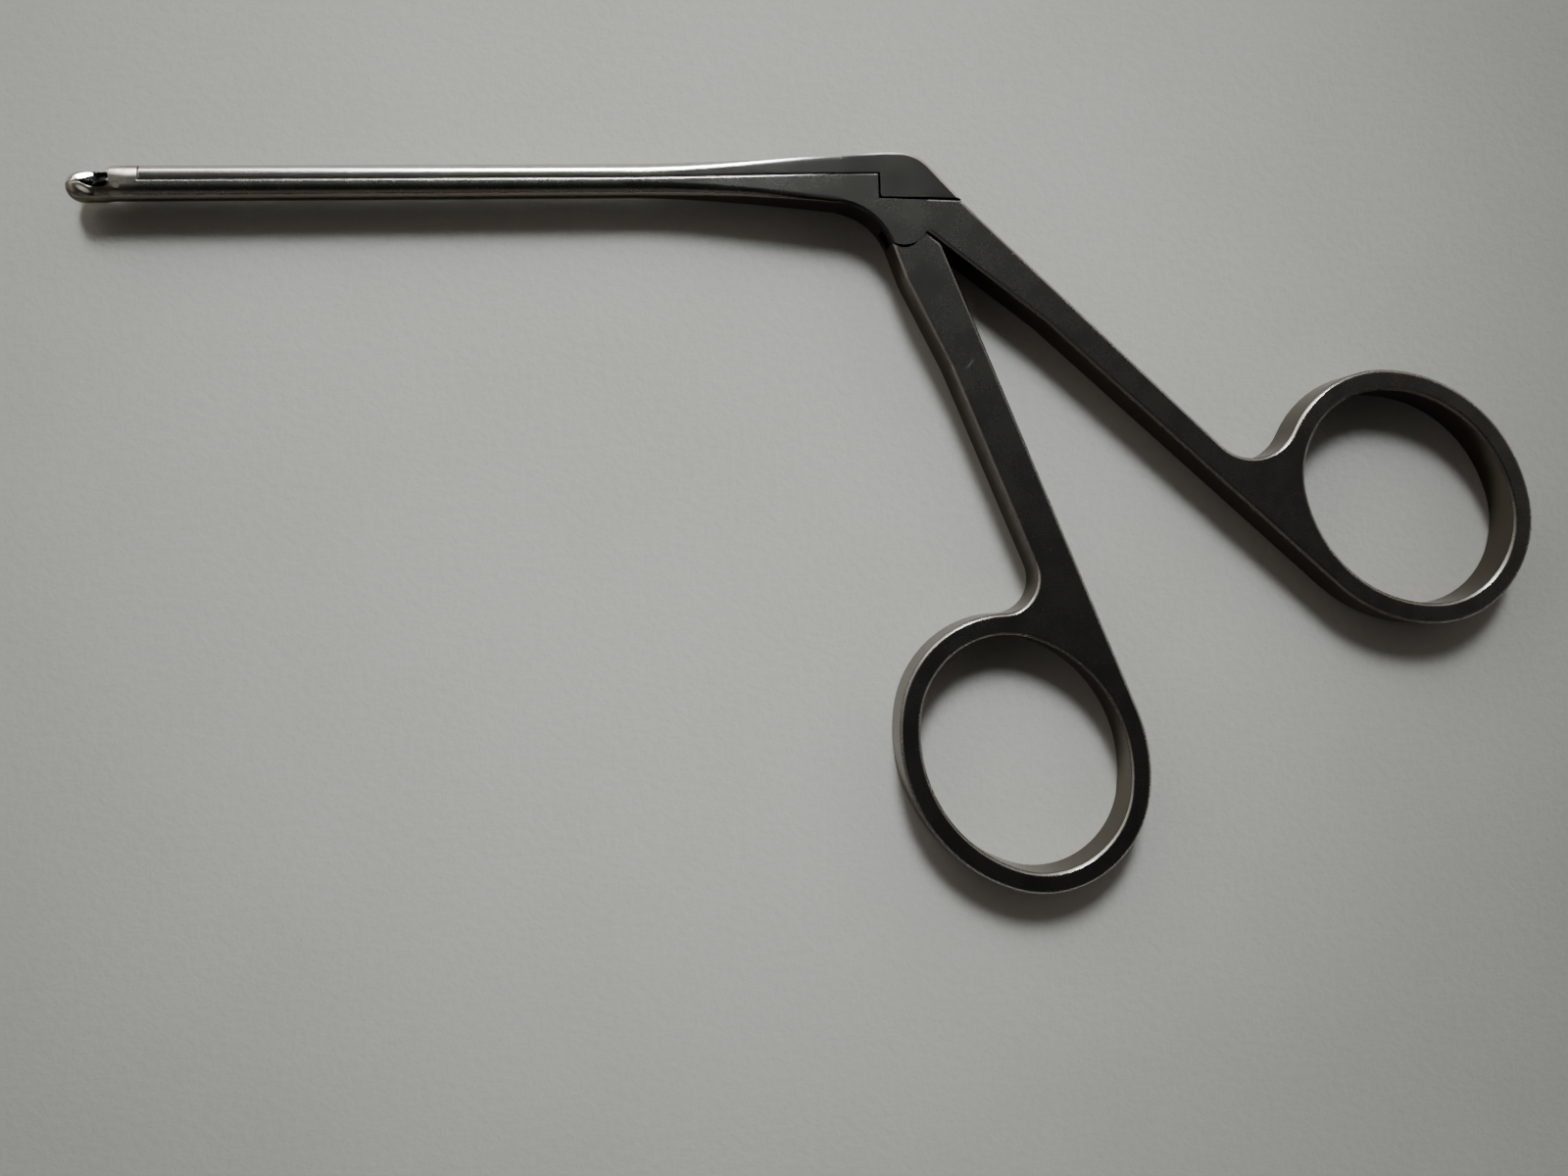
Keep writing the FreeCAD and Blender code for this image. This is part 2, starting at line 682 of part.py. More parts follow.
def make_body_plate():
    """The flat body with its lobe, the rear arm and the thumb ring."""
    corners = [
        ("-flare_end", "low_seam"),
        ("-flare_end", "flare_low"),
        ("-throat_back", "throat_height"),
        ("-lobe_edge_back", "-lobe_edge_drop"),
        ("slit_start_x", "slit_start_y"),
        ("rear_bend_x", "rear_bend_y"),
        ("rear_touch_x", "rear_touch_y"),
        ("rear_ring_x", "rear_ring_y"),
        ("rear_inner_x", "rear_inner_y"),
        ("heel_tip_back", "rear_arm_start_y"),
        ("-step_back", "body_front_height"),
        ("-step_back", "low_seam"),
    ]
    body = new_body("body_plate")
    outline = polygon(body, "body_outline", corners, arcs={3: "lobe_radius"})
    pad(body, outline, "flat_thickness")
    add_ring(body, "rear_ring", "rear_neck_round")
    round_edges(body, upright_at("-throat_back", "throat_height"), "throat_round")

    def seam(x, y, box):
        shaft_seam = abs(y - value("low_seam")) < 0.001
        under_heel = -value("step_back") < x < value("heel_tip_back")
        heel_seam = under_heel and value("rear_arm_start_y") < y < value("body_front_height")
        return shaft_seam or heel_seam or abs(x + value("step_back")) < 0.001

    def lobe(x, y, box):
        return box.XMax < value("slit_start_x") + 0.5 and -4 < box.YMin and box.YMax < 0

    def outside(x, y, box):
        return x > 0.001 - value("flare_end") and not seam(x, y, box) and not lobe(x, y, box)

    bevel_edges(body, flat_rims(body, outside), "rim_bevel")
    bevel_edges(body, flat_rims(body, seam), "seam_bevel")
    return body


def make_finger_plate():
    """The flat part of the finger handle: shoulder, arm and ring."""
    corners = [
        ("-lobe_edge_back", "-lobe_edge_drop"),
        ("front_knee_x", "-front_knee_drop"),
        ("front_flare_x", "-front_flare_drop"),
        ("front_left_x", "front_left_y"),
        ("front_ring_x", "front_ring_y"),
        ("front_touch_x", "front_touch_y"),
        ("shoulder_x", "shoulder_y"),
        ("slit_side_x", "slit_side_y"),
    ]
    body = new_body("finger_plate")
    pad(body, polygon(body, "finger_outline", corners), "flat_thickness")
    add_ring(body, "front_ring", "front_neck_round")
    round_edges(body, upright_at("shoulder_x", "shoulder_y"), "shoulder_round")

    def outside(x, y, box):
        return box.XLength > 0.001 and math.hypot(x, y) > value("lobe_radius")

    bevel_edges(body, flat_rims(body, outside), "rim_bevel")
    return body


def make_finger_handle():
    """The finger handle with the blade, eye and nose that work in the body."""
    plate = cut("finger_flat", make_finger_plate(),
                disc("lobe_seat", "0", "0", "lobe_radius + lobe_gap", "flat_thickness"))
    web = new_body("blade_web")
    corners = [
        ("-eye_radius * 0.75", "-eye_radius * 0.6"),
        ("-lobe_edge_back * 0.6", "-front_knee_drop * 0.55"),
        ("front_knee_x + front_arm_width * 0.8", "-front_knee_drop * 0.8"),
        ("shoulder_x - shoulder_round - slit_gap", "shoulder_y - slit_gap"),
        ("eye_radius * 0.8", "-eye_radius * 0.5"),
    ]
    pad(web, polygon(web, "web_outline", corners), "blade_thickness")
    eye = disc("eye", "0", "0", "eye_radius", "blade_thickness / 2")
    nose = block("nose", ("-nose_half_width", "nose_half_width"), ("0", "nose_end"),
                 "blade_thickness / 2")
    fork_half = "heel_pin_radius + running_fit"
    fork = block("fork", (f"-({fork_half})", fork_half), ("handle_arm", "nose_end + past"),
                 "blade_thickness")
    fork_floor = disc("fork_floor", "0", "handle_arm", fork_half, "blade_thickness")
    forked_nose = lean(cut("forked_nose", nose, fork, fork_floor), "0", "0", "handle_swing / 2")
    joined = fuse("finger_blank", plate, web, eye, forked_nose)
    bore = disc("finger_bore", "0", "0", "handle_pin_radius + running_fit", "flat_thickness")
    return cut("finger_handle", joined, bore)


def bevel_seam(name, half, seam):
    """Bevel the long seam edges of one half of the shaft."""
    body = new_body(name, half)

    def along_seam(edge):
        box = edge.BoundBox
        level = abs(box.YMin - value(seam)) < 0.001 and abs(box.YMax - value(seam)) < 0.001
        side = min(abs(box.ZMin), abs(box.ZMax)) > value("shaft_width") / 2 - 0.01
        return level and side and box.XLength > value("keel_length")

    bevel_edges(body, along_seam, "seam_bevel")
    return body


def make_keel(name, back):
    """A T-shaped keel that holds the sliding shaft down on the fixed shaft."""
    run = (f"-({back}) - keel_length", f"-({back})")
    neck = block(name + "_neck", run, ("keel_low", "top_seam + keel_neck_height"),
                 "keel_neck_width / 2")
    head = block(name + "_head", run, ("keel_low", "keel_neck_low"), "keel_head_width / 2")
    return [neck, head]


def make_keel_slot(name, back):
    """The undercut slot of a keel, with the wide way in behind it for assembly."""
    front = f"-({back}) - keel_length - keel_gap"
    rear = f"-({back}) + slide_travel + keel_gap"
    floor = "keel_low - keel_gap"
    neck = block(name + "_neck", (front, rear), (floor, "seam_height + past"), "keel_slot_neck")
    head = block(name + "_head", (front, rear), (floor, "keel_neck_low + keel_gap"),
                 "keel_slot_head")
    entry = block(name + "_entry", (f"{front} + keel_drop_in", f"-({back}) + keel_drop_in + keel_gap"),
                  (floor, "seam_height + past"), "keel_slot_head")
    return [neck, head, entry]


def make_sliding_shaft(blank):
    """The upper half of the shaft, its heel, its keels and the tongue that drives the jaw."""
    zone = block("upper_zone", ("-slider_reach", "-flare_end"), ("top_seam", "heel_top + past"),
                 "flat_thickness")
    half = bevel_seam("upper_bevelled", common("upper_half", blank, zone), "top_seam")
    tongue = block("tongue", ("-drive_pin_back", "-slider_reach + tine_root"),
                   ("drive_height - tine_radius", "drive_height + tine_radius"), "tine_outside")
    tip = disc("tongue_tip", "-drive_pin_back", "drive_height", "tine_radius", "tine_outside")
    keels = make_keel("front_keel", "front_keel_back") + make_keel("rear_keel", "rear_keel_back")
    joined = fuse("slider_blank", half, make_heel_plate(), tongue, tip, *keels)
    gap = block("tongue_slot", ("-drive_pin_back - past", "-slider_reach - cheek_gap"),
                ("seam_height - past", "heel_top"), "tail_thickness / 2 + lap_gap")
    drive_bore = disc("drive_bore", "-drive_pin_back", "drive_height",
                      "drive_pin_radius + pin_fit", "flat_thickness")
    heel_slot = block("heel_slot", ("-pin_lean - heel_slot_half", "-pin_lean + heel_slot_half"),
                      ("0", "heel_slot_top"), "slot_half")
    eye_way = block("eye_way", ("-eye_space_radius - slide_travel", "eye_space_radius"),
                    ("0", "eye_space_radius"), "slot_half")
    heel_bore = disc("heel_bore", "-pin_lean", "handle_arm", "heel_pin_radius + pin_fit",
                     "flat_thickness")
    return cut("sliding_shaft", joined, gap, drive_bore, heel_slot, eye_way, heel_bore)


def make_lower_jaw(jaw_blank):
    """The fixed cup with the web that joins it to the cheeks."""
    zone = new_body("lower_jaw_zone")
    corners = [
        ("-nose_reach - past", "0"),
        ("-jaw_root_back", "0"),
        ("-jaw_root_back", "low_seam"),
        ("-shaft_reach", "cheek_foot_height"),
        ("-foot_back", "foot_height"),
        ("-web_back", "web_height"),
        ("-dip_front", "dip_height"),
        ("-mouth_back", "mouth_low"),
        ("-nose_reach - past", "mouth_low"),
    ]
    pad(zone, polygon(zone, "lower_jaw_outline", corners), "shaft_width * 2")
    return common("lower_jaw", jaw_blank, zone)


def make_cup(name, height, depth):
    """The hollow of one cup: half of an ellipsoid that opens on the mouth."""
    hollow = doc.addObject("Part::Ellipsoid", name)
    hollow.Placement = FreeCAD.Placement(
        FreeCAD.Vector(), FreeCAD.Rotation(FreeCAD.Vector(1, 0, 0), 90))
    return bind(hollow, Radius1=depth, Radius2="cup_length / 2", Radius3="cup_width / 2",
                Placement__Base__x="-cup_back", Placement__Base__y=height)


def make_blade_space():
    """The room in the slot of the body where the web of the blade swings."""
    space = new_body("blade_space")
    corners = [
        ("0.001", "0.001"),
        ("-lobe_radius * 1.3", "-lobe_radius * 0.6"),
        ("-lobe_radius * 1.3", "-lobe_radius * 1.6"),
        ("lobe_radius * 1.3", "-lobe_radius * 1.6"),
        ("slit_start_x * 1.2", "slit_start_y * 1.2"),
    ]
    pad(space, polygon(space, "blade_space_outline", corners), "2 * slot_half")
    return space


def make_fixed_shaft(shaft_blank, jaw_blank):
    """The lower half of the shaft with its cheeks, cup, body, rear arm and ring."""
    space = block("slider_space", ("-slider_reach - cheek_gap", "0"),
                  ("low_seam", "heel_top + past"), "flat_thickness")
    half = bevel_seam("lower_bevelled", cut("lower_half", shaft_blank, space), "low_seam")
    joined = fuse("fixed_blank", half, make_body_plate(), make_lower_jaw(jaw_blank))
    cheek_slot = block("cheek_slot", ("-foot_back", "-slider_reach"),
                       ("jaw_pivot_height - tail_radius - slot_floor_gap", "heel_top"),
                       "cheek_slot_half")
    cup = make_cup("lower_hollow", "mouth_low", "cup_depth")
    jaw_bore = disc("jaw_bore", "-jaw_pivot_back", "jaw_pivot_height", "jaw_pin_radius + pin_fit",
                    "flat_thickness")
    eye_space = disc("eye_space", "0", "0", "eye_space_radius", "slot_half")
    sway = "heel_slot_half + slide_travel / 2"
    nose_space = block("nose_space", (f"-({sway})", sway), ("0", "heel_slot_top"), "slot_half")
    pivot_bore = disc("pivot_bore", "0", "0", "handle_pin_radius + pin_fit", "flat_thickness")
    slots = make_keel_slot("front_slot", "front_keel_back")
    slots += make_keel_slot("rear_slot", "rear_keel_back")
    return cut("fixed_shaft", joined, cheek_slot, cup, jaw_bore, eye_space, make_blade_space(),
               nose_space, pivot_bore, *slots)


def make_upper_jaw(jaw_blank):
    """The hinged cup with its narrow neck and its tail in the slot of the cheeks."""
    zone = new_body("upper_jaw_zone")
    corners = [
        ("-nose_reach - past", "mouth_top"),
        ("-mouth_back", "mouth_top"),
        ("-brow_back", "brow_low"),
        ("-head_back", "neck_low - brow_rise / 2"),
        ("-neck_back", "neck_low"),
        ("-neck_back", "heel_top + past"),
        ("-nose_reach - past", "heel_top + past"),
    ]
    pad(zone, polygon(zone, "upper_jaw_outline", corners), "shaft_width * 2")
    plan = new_body("head_plan")
    shoulder = "-head_back - neck_half_width"
    outline = [
        ("-nose_reach - past", "shaft_width"),
        ("-nose_reach - past", "-shaft_width"),
        (shoulder, "-shaft_width"),
        ("-head_back", "-neck_half_width"),
        ("-neck_back + past", "-neck_half_width"),
        ("-neck_back + past", "neck_half_width"),
        ("-head_back", "neck_half_width"),
        (shoulder, "shaft_width"),
    ]
    pad(plan, polygon(plan, "head_plan_outline", outline, "XZ_Plane"), "2 * seam_height + 2 * heel_top")
    head = common("head_shape", common("head_side", jaw_blank, zone), plan)
    eye = disc("tail_eye", "-jaw_pivot_back", "jaw_pivot_height", "tail_radius", "tail_thickness / 2")
    boss = disc("tail_tip", "-drive_pin_back", "drive_height", "tail_tip_radius", "tail_thickness / 2")
    tail = new_body("tail")
    inside_neck = "-neck_back - tine_radius"
    web = [
        ("-jaw_pivot_back - tail_radius * 0.93", "jaw_pivot_height + tail_radius * 0.36"),
        ("-jaw_pivot_back + tail_radius * 0.93", "jaw_pivot_height + tail_radius * 0.36"),
        ("-drive_pin_back + tail_tip_radius * 0.9", "drive_height + tail_tip_radius * 0.4"),
        ("-drive_pin_back", "drive_height + tail_tip_radius"),
        (inside_neck, "drive_height + tail_tip_radius"),
        (inside_neck, "neck_low"),
    ]
    pad(tail, polygon(tail, "tail_outline", web), "tail_thickness")
    joined = fuse("jaw_joined", head, eye, boss, tail)
    hollow = make_cup("upper_hollow", "mouth_top", "upper_cup_depth")
    pivot = disc("jaw_eye_bore", "-jaw_pivot_back", "jaw_pivot_height",
                 "jaw_pin_radius + running_fit", "flat_thickness")
    half_slot = "drive_pin_radius + running_fit"
    low_end = "drive_arm - running_fit"
    high_end = "drive_arm / cos(jaw_swing / 2) + running_fit"
    drive_slot = fuse("drive_slot",
                      block("slot_middle", (f"-({half_slot})", half_slot), (low_end, high_end), "past"),
                      disc("slot_low_end", "0", low_end, half_slot, "past"),
                      disc("slot_high_end", "0", high_end, half_slot, "past"))
    lean(drive_slot, "-jaw_pivot_back", "jaw_pivot_height", "jaw_swing / 2")
    return cut("upper_jaw", joined, hollow, pivot, drive_slot)


def make_pins():
    """The four pins, each flush with what carries it."""
    jaw_half = "shaft_width / 2 - pin_fit"
    places = {
        "handle_rivet": ("0", "0", "handle_pin_radius", "half_thickness"),
        "heel_pin": ("-pin_lean", "handle_arm", "heel_pin_radius", "half_thickness"),
        "jaw_rivet": ("-jaw_pivot_back", "jaw_pivot_height", "jaw_pin_radius", jaw_half),
        "jaw_drive_pin": ("-drive_pin_back", "drive_height", "drive_pin_radius", "tine_outside"),
    }
    pins = []
    for name, (x, y, radius, half_length) in places.items():
        pin = disc(name, f"table_x + {x}", f"table_y + {y}", radius, half_length)
        bind(pin, Placement__Base__z=f"half_thickness - ({half_length})")
        pins.append(pin)
    return pins


def set_on_table(part):
    """Move a sub-part from the drawing about the pivot to its place on the table."""
    return bind(part, Placement__Base__x="table_x", Placement__Base__y="table_y",
                Placement__Base__z="half_thickness")


def check_document():
    """Stop if any object of the document failed."""
    for thing in doc.Objects:
        if "Invalid" in thing.State or "Error" in thing.State:
            raise RuntimeError(f"{thing.Label} failed: {thing.State}")


def export(parts):
    """Check each sub-part and write it to a STEP file named by its label."""
    os.makedirs("parts", exist_ok=True)
    for part in parts:
        shape = part.Shape
        if shape.isNull() or not shape.isValid() or not shape.Solids:
            raise RuntimeError(f"{part.Label} has no valid solid")
    for part in parts:
        part.Shape.exportStep(f"parts/{part.Label}.step")
        print(part.Label, len(part.Shape.Solids), round(part.Shape.Volume, 3))


def main():
    """Build every sub-part, set them on the table and write them out."""
    shaft_blank = make_shaft_blank()
    jaw_blank = make_jaw_blank()
    carved = [
        make_fixed_shaft(shaft_blank, jaw_blank),
        make_sliding_shaft(shaft_blank),
        make_finger_handle(),
        make_upper_jaw(jaw_blank),
    ]
    parts = [set_on_table(part) for part in carved] + make_pins()
    doc.recompute()
    check_document()
    export(parts)
    print("handle pivot", value("table_x"), value("table_y"))
    print("jaw pivot", value("table_x - jaw_pivot_back"), value("table_y + jaw_pivot_height"))
    print("slide travel", value("slide_travel"), "handle arm", value("handle_arm"))


main()
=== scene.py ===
import json
import logging
import math
from dataclasses import dataclass, field
from enum import Enum
from typing import Any, Iterable, Mapping, Optional, Union

import bpy
from mathutils import Matrix, Vector


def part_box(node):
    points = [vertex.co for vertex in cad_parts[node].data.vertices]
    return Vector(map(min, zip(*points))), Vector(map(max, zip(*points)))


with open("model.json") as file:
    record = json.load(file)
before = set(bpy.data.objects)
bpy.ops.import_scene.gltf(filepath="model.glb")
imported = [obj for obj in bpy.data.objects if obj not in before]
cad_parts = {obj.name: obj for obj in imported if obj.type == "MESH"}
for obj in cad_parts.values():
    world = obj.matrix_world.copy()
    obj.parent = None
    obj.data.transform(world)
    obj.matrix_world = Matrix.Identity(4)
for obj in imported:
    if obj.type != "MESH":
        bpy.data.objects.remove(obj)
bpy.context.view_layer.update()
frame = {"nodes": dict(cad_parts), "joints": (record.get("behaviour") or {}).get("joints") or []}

log = logging.getLogger("ear_forceps")

MM = 0.001
HALF_THICKNESS = 2.0 * MM
HANDLE_PIVOT = "handle_swing"
JAW_PIVOT = "jaw_swing"

Colour = tuple[float, float, float]
Point = tuple[float, float, float]

ORIGIN: Point = (0.0, 0.0, 0.0)
UP: Point = (0.0, 0.0, 1.0)
ACROSS: Point = (0.0, 1.0, 0.0)
BLACK: Colour = (0.0, 0.0, 0.0)
GAP_AND_SHADE_BLACK: Colour = (0.004, 0.004, 0.004)

# How much of a face's direction points up where it begins to be a side, and where it wholly is.
SIDE_BEGINS = 0.72
SIDE_WHOLE = 0.45
# How open a corner is where the painted shade of narrow corners begins, and where it is whole.
CREVICE_BEGINS = 0.8
CREVICE_WHOLE = 0.2


class Node(Enum):
    """The solids of the part."""

    FIXED_SHAFT = "fixed_shaft"
    SLIDING_SHAFT = "sliding_shaft"
    FINGER_HANDLE = "finger_handle"
    UPPER_JAW = "upper_jaw"
    HANDLE_RIVET = "handle_rivet"
    HEEL_PIN = "heel_pin"
    JAW_RIVET = "jaw_rivet"
    JAW_DRIVE_PIN = "jaw_drive_pin"


class Grain(Enum):
    """Which way the last rubbing of a surface ran, in degrees from the shaft."""

    SHAFT = 0.0
    REAR_ARM = -42.8
    FRONT_ARM = -69.0


class Signal:
    """One output of a shader node, with arithmetic that adds Math nodes."""

    def __init__(self, graph: "Graph", socket: bpy.types.NodeSocket) -> None:
        """Wrap a socket.

        Args:
            graph: the nodes that the socket belongs to.
            socket: the output that is wrapped.
        """
        self.graph = graph
        self.socket = socket

    def step(self, operation: str, first: "Operand", second: "Operand" = 0.0) -> "Signal":
        """Add one Math node.

        Args:
            operation: what the Math node does.
            first: its first value.
            second: its second value, where it has one.

        Returns:
            The result.
        """
        return self.graph.signal("ShaderNodeMath", {"operation": operation},
                                 {0: first, 1: second})

    def __add__(self, other: "Operand") -> "Signal":
        """Add a value."""
        return self.step("ADD", self, other)

    def __radd__(self, other: "Operand") -> "Signal":
        """Add to a value."""
        return self.step("ADD", other, self)

    def __sub__(self, other: "Operand") -> "Signal":
        """Take a value away."""
        return self.step("SUBTRACT", self, other)

    def __rsub__(self, other: "Operand") -> "Signal":
        """Take this away from a value."""
        return self.step("SUBTRACT", other, self)

    def __mul__(self, other: "Operand") -> "Signal":
        """Multiply by a value."""
        return self.step("MULTIPLY", self, other)

    def __rmul__(self, other: "Operand") -> "Signal":
        """Multiply a value by this."""
        return self.step("MULTIPLY", other, self)

    def __truediv__(self, other: "Operand") -> "Signal":
        """Divide by a value."""
        return self.step("DIVIDE", self, other)

    def size(self) -> "Signal":
        """Drop the sign."""
        return self.step("ABSOLUTE", self)

    def between(self, low: float, high: float) -> "Signal":
        """Turn a range into a smooth climb from 0 to 1.

        Args:
            low: where the climb starts.
            high: where it ends; below low, the climb runs the other way.

        Returns:
            The climb, held at 0 and 1 outside the range.
        """
        start, end, first, last = (low, high, 0.0, 1.0) if low < high else (high, low, 1.0, 0.0)
        return self.graph.signal(
            "ShaderNodeMapRange",
            {"interpolation_type": "SMOOTHSTEP"},
            {"Value": self, "From Min": start, "From Max": end, "To Min": first, "To Max": last})


Operand = Union[Signal, float, int]
Input = Union[Signal, float, int, tuple]


class Graph:
    """The nodes of one material or of the world."""

    def __init__(self, owner: Union[bpy.types.Material, bpy.types.World]) -> None:
        """Take over the nodes of a new material or world.

        Args:
            owner: what the nodes belong to.
        """
        owner.use_nodes = True
        self.tree = owner.node_tree
        self.tree.nodes.clear()

    def node(self, kind: str, settings: Optional[Mapping[str, Any]] = None,
             sockets: Optional[Mapping[Union[int, str], Input]] = None) -> bpy.types.Node:
        """Add a node of any kind.

        Args:
            kind: the node's type.
            settings: its settings, set first.
            sockets: a value or a link for each input, by name or by place.

        Returns:
            The node.
        """
        made = self.tree.nodes.new(kind)
        for setting, value in (settings or {}).items():
            setattr(made, setting, value)
        for place, value in (sockets or {}).items():
            if isinstance(value, Signal):
                self.tree.links.new(value.socket, made.inputs[place])
            else:
                made.inputs[place].default_value = value
        return made

    def signal(self, kind: str, settings: Optional[Mapping[str, Any]] = None,
               sockets: Optional[Mapping[Union[int, str], Input]] = None,
               output: Union[int, str] = 0) -> Signal:
        """Add a node and take one of its outputs.

        Args:
            kind: the node's type.
            settings: its settings.
            sockets: a value or a link for each input.
            output: the output's name or place.

        Returns:
            The output.
        """
        return Signal(self, self.node(kind, settings, sockets).outputs[output])

    def place(self) -> Signal:
        """Take the place on the part, in the row frame at rest."""
        return self.signal("ShaderNodeTexCoord", output="Object")

    def stretched(self, place: Signal, turn: float, along: float, across: float) -> Signal:
        """Turn and stretch a place, for marks that are longer one way.

        Args:
            place: the place on the part.
            turn: which way the marks run, in degrees from the shaft.
            along: marks to the metre along that way.
            across: marks to the metre across it.

        Returns:
            The place, in marks.
        """
        turned = self.signal("ShaderNodeVectorRotate", {"rotation_type": "Z_AXIS"},
                             {"Vector": place, "Angle": -math.radians(turn)})
        return self.vector("MULTIPLY", turned, (along, across, across))

    def noise(self, place: Signal, scale: float, detail: float = 2.0,
              rough: float = 0.5) -> Signal:
        """Take smooth noise.

        Args:
            place: where it is read.
            scale: its features to the unit.
            detail: how many finer layers it has.
            rough: how strong the finer layers are.

        Returns:
            A value near one half, from 0 to 1.
        """
        return self.signal("ShaderNodeTexNoise", {"noise_dimensions": "3D"},
                           {"Vector": place, "Scale": scale, "Detail": detail,
                            "Roughness": rough})

    def blend(self, share: Signal, first: Input, second: Input) -> Signal:
        """Mix two colours.

        Args:
            share: how much of the second there is.
            first: the first colour.
            second: the second colour.

        Returns:
            The mixed colour.
        """
        place = {"data_type": "RGBA"}
        return self.signal("ShaderNodeMix", place, {0: share, 6: first, 7: second}, 2)

    def vector(self, operation: str, first: Input, second: Input = ORIGIN,
               output: str = "Vector") -> Signal:
        """Add one Vector Math node.

        Args:
            operation: what the node does.
            first: its first vector.
            second: its second vector, where it has one.
            output: which output is taken, Vector or Value.

        Returns:
            The result.
        """
        return self.signal("ShaderNodeVectorMath", {"operation": operation},
                           {0: first, 1: second}, output)

    def share_of(self, direction: Signal, way: Point) -> Signal:
        """Measure how much of a direction points one way.

        Args:
            direction: the direction that is measured.
            way: the way, of length 1.

        Returns:
            How far it reaches that way.
        """
        return self.vector("DOT_PRODUCT", direction, way, "Value")

    def lean(self, share: Signal, first: Signal, second: Input) -> Signal:
        """Mix two directions.

        Args:
            share: how much of the second there is.
            first: the first direction.
            second: the second direction.

        Returns:
            The mixed direction.
        """
        return self.signal("ShaderNodeMix", {"data_type": "VECTOR"},
                           {0: share, 4: first, 5: second}, 1)

    def along(self, place: Signal, start: Point, turn: float) -> Signal:
        """Measure how far a place lies along a direction from a start.

        Args:
            place: the place on the part.
            start: where the measure begins.
            turn: the direction, in degrees from the shaft.

        Returns:
            The distance in metres.
        """
        way = (math.cos(math.radians(turn)), math.sin(math.radians(turn)), 0.0)
        return self.share_of(self.vector("SUBTRACT", place, start), way)

    def finish(self, **sockets: Input) -> None:
        """Close a material with one Principled shader.

        Args:
            sockets: the shader's inputs, with _ for each space of a name.
        """
        named = {name.replace("_", " "): value for name, value in sockets.items()}
        shader = self.signal("ShaderNodeBsdfPrincipled", None, named)
        self.node("ShaderNodeOutputMaterial", None, {"Surface": shader})


def opaque(colour: Colour) -> tuple[float, float, float, float]:
    """Give a colour its full alpha."""
    return (*colour, 1.0)


def pivot_of(joint: str) -> Vector:
    """Find where a joint turns.

    Args:
        joint: the joint's name.

    Returns:
        The place in the row frame.
    """
    return Vector(next(item["pos_m"] for item in frame["joints"] if item["name"] == joint))


def beside(back: float, across: float = 0.0, joint: str = HANDLE_PIVOT) -> Point:
    """Find a place beside a pivot.

    Args:
        back: how far back along the shaft, away from the jaws, in millimetres.
        across: how far across the shaft, away from the finger ring, in millimetres.
        joint: the joint that turns on the pivot.

    Returns:
        The place in the row frame.
    """
    pivot = pivot_of(joint)
    return (pivot.x + back * MM, pivot.y + across * MM, 0.0)


@dataclass(frozen=True)
class Oval:
    """An oval area seen from the side of the forceps, with a soft edge."""

    centre: Point
    half_long: float
    half_short: float
    turn: float = 0.0
    soft: float = 0.2
    depth: Optional[float] = None

    @classmethod
    def at(cls, back: float, across: float, half_long: float, half_short: float,
           turn: float = 0.0, soft: float = 0.2, depth: Optional[float] = None,
           joint: str = HANDLE_PIVOT) -> "Oval":
        """Place an oval beside a pivot.

        Args:
            back: how far back its centre is along the shaft, in millimetres.
            across: how far across its centre is, away from the finger ring, in millimetres.
            half_long: half its length, in millimetres.
            half_short: half its width, in millimetres.
            turn: how it is turned, in degrees from the shaft.
            soft: how much of its reach the soft edge takes, from 0 to 1.
            depth: how far it reaches from the middle of the thickness, in millimetres.
            joint: the joint that turns on the pivot.

        Returns:
            The oval.
        """
        return cls(beside(back, across, joint), half_long * MM, half_short * MM, turn, soft,
                   None if depth is None else depth * MM)

    def mask(self, graph: Graph, place: Signal) -> Signal:
        """Mark the oval.

        Args:
            graph: the material's nodes.
            place: the place on the part.

        Returns:
            1 inside, fading to 0 across the soft edge and past the depth, if it has one.
        """
        run = graph.along(place, self.centre, self.turn) / self.half_long
        side = graph.along(place, self.centre, self.turn + 90.0) / self.half_short
        inside = (run * run + side * side).between(1.0, (1.0 - self.soft) ** 2)
        if self.depth is None:
            return inside
        from_middle = (graph.share_of(place, UP) - HALF_THICKNESS).size()
        return inside * from_middle.between(self.depth, 0.85 * self.depth)


@dataclass(frozen=True)
class Line:
    """A straight line on a flat face."""

    start: Point
    turn: float
    length: float
    width: float

    def run(self, graph: Graph, place: Signal) -> Signal:
        """Measure along the line from its start."""
        return graph.along(place, self.start, self.turn)

    def aside(self, graph: Graph, place: Signal) -> Signal:
        """Measure the distance from the line."""
        return graph.along(place, self.start, self.turn + 90.0).size()


@dataclass(frozen=True)
class Scratch(Line):
    """One bright scratch."""

    width: float = 0.12 * MM
    roughness: float = 0.16
    cleaning: float = 0.3

    def mask(self, graph: Graph, place: Signal) -> Signal:
        """Mark the scratch.

        Args:
            graph: the material's nodes.
            place: the place on the part.

        Returns:
            1 in the scratch, fading to 0 at its sides and ends.
        """
        run = self.run(graph, place)
        ends = run.between(0.0, 0.3 * self.length) * run.between(self.length, 0.6 * self.length)
        return ends * self.aside(graph, place).between(self.width, 0.0)


@dataclass(frozen=True)
class Seam(Line):
    """A dark hairline where two parts meet."""

    width: float = 0.15 * MM

    def mask(self, graph: Graph, place: Signal) -> Signal:
        """Mark the line.

        Args:
            graph: the material's nodes.
            place: the place on the part.

        Returns:
            1 in the line, fading to 0 at its sides and ends.
        """
        run = self.run(graph, place)
        ends = run.between(-self.width, 0.0) * run.between(self.length + self.width, self.length)
        return ends * self.aside(graph, place).between(self.width, 0.6 * self.width)


